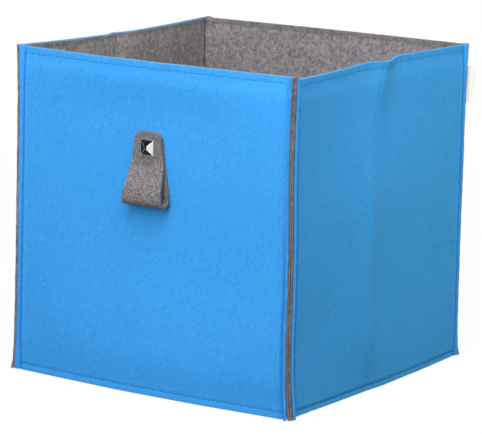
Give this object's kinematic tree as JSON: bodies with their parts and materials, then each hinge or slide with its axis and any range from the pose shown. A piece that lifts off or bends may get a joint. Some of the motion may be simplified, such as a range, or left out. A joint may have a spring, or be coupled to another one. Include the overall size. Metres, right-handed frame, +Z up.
{
  "type": "felt storage box",
  "caption": "Open-topped cube of blue felt with a grey felt lining, pinched raw-edge corner seams, a studded felt pull loop on the front and creased sides that fold it flat.",
  "frame": {"origin": "centre of the underside of the base, on the surface that the box stands on", "axes": "+Z up, -Y out of the front wall that carries the pull loop, +X to the right when facing the front wall"},
  "size_m": [0.331, 0.3407, 0.32],
  "materials": {
    "blue_felt": "matt felt",
    "grey_felt": "matt mottled felt",
    "strap_felt": "matt mottled felt",
    "blue_thread": "sewing thread",
    "white_weave": "woven tape, bare",
    "board": "plain card",
    "bright_steel": "bright plated"
  },
  "bodies": {
    "front_wall": {"front_outer_felt": "blue_felt", "front_board": "board", "front_lining": "grey_felt", "front_stitching": "blue_thread", "right_front_outer_seam": "blue_felt", "right_front_lining_seam": "grey_felt", "left_front_outer_seam": "blue_felt", "left_front_lining_seam": "grey_felt"},
    "right_front_half": {"right_front_outer_felt": "blue_felt", "right_front_board": "board", "right_front_lining": "grey_felt", "right_front_stitching": "blue_thread"},
    "right_rear_half": {"right_rear_outer_felt": "blue_felt", "right_rear_board": "board", "right_rear_lining": "grey_felt", "right_rear_stitching": "blue_thread"},
    "rear_wall": {"rear_outer_felt": "blue_felt", "rear_board": "board", "rear_lining": "grey_felt", "rear_stitching": "blue_thread", "right_rear_outer_seam": "blue_felt", "right_rear_lining_seam": "grey_felt", "left_rear_outer_seam": "blue_felt", "left_rear_lining_seam": "grey_felt", "woven_label": "white_weave"},
    "left_front_half": {"left_front_outer_felt": "blue_felt", "left_front_board": "board", "left_front_lining": "grey_felt", "left_front_stitching": "blue_thread"},
    "left_rear_half": {"left_rear_outer_felt": "blue_felt", "left_rear_board": "board", "left_rear_lining": "grey_felt", "left_rear_stitching": "blue_thread"},
    "base_front_half": {"base_front_felt": "grey_felt", "base_front_board": "board", "base_front_lining": "grey_felt"},
    "base_rear_half": {"base_rear_felt": "grey_felt", "base_rear_board": "board", "base_rear_lining": "grey_felt"},
    "handle_tab": {"strap_front_end": "strap_felt", "strap_back_end": "strap_felt", "stud_cap": "bright_steel", "rivet_post": "bright_steel", "rivet_washer": "bright_steel"},
    "handle_loop": {"strap_loop": "strap_felt"}
  },
  "joints": [
    {"name": "side_fold", "type": "hinge", "parent": "front_wall", "child": "right_front_half", "pos_m": [0.1544, -0.1534, 0], "axis": [0, 0, 1], "range_deg": [0, 82]},
    {"name": "right_crease", "type": "hinge", "parent": "right_front_half", "child": "right_rear_half", "pos_m": [0.1615, 0, 0], "axis": [0, 0, -1], "range_deg": [0, 164]},
    {"name": "rear_right_corner", "type": "hinge", "parent": "right_rear_half", "child": "rear_wall", "pos_m": [0.1544, 0.1534, 0], "axis": [0, 0, 1], "range_deg": [0, 82]},
    {"name": "front_left_corner", "type": "hinge", "parent": "front_wall", "child": "left_front_half", "pos_m": [-0.1544, -0.1534, 0], "axis": [0, 0, -1], "range_deg": [0, 82]},
    {"name": "rear_left_corner", "type": "hinge", "parent": "rear_wall", "child": "left_rear_half", "pos_m": [-0.1544, 0.1534, 0], "axis": [0, 0, 1], "range_deg": [0, 82]},
    {"name": "base_front_fold", "type": "hinge", "parent": "front_wall", "child": "base_front_half", "pos_m": [0, -0.16, 0.00265], "axis": [-1, 0, 0], "range_deg": [0, 82]},
    {"name": "base_rear_fold", "type": "hinge", "parent": "rear_wall", "child": "base_rear_half", "pos_m": [0, 0.16, 0.00265], "axis": [1, 0, 0], "range_deg": [0, 82]},
    {"name": "loop_swivel", "type": "hinge", "parent": "front_wall", "child": "handle_tab", "pos_m": [0, -0.16, 0.2397], "axis": [0, -1, 0], "range_deg": [-30, 30]},
    {"name": "loop_lift", "type": "hinge", "parent": "handle_tab", "child": "handle_loop", "pos_m": [0, -0.1656, 0.229], "axis": [-1, 0, 0], "range_deg": [0, 80]}
  ],
  "couplings": [
    {"joint": "right_crease", "follows": "side_fold", "ratio": 2},
    {"joint": "rear_right_corner", "follows": "side_fold", "ratio": 1},
    {"joint": "front_left_corner", "follows": "side_fold", "ratio": 1},
    {"joint": "rear_left_corner", "follows": "side_fold", "ratio": 1},
    {"joint": "base_front_fold", "follows": "side_fold", "ratio": 1},
    {"joint": "base_rear_fold", "follows": "side_fold", "ratio": 1}
  ]
}
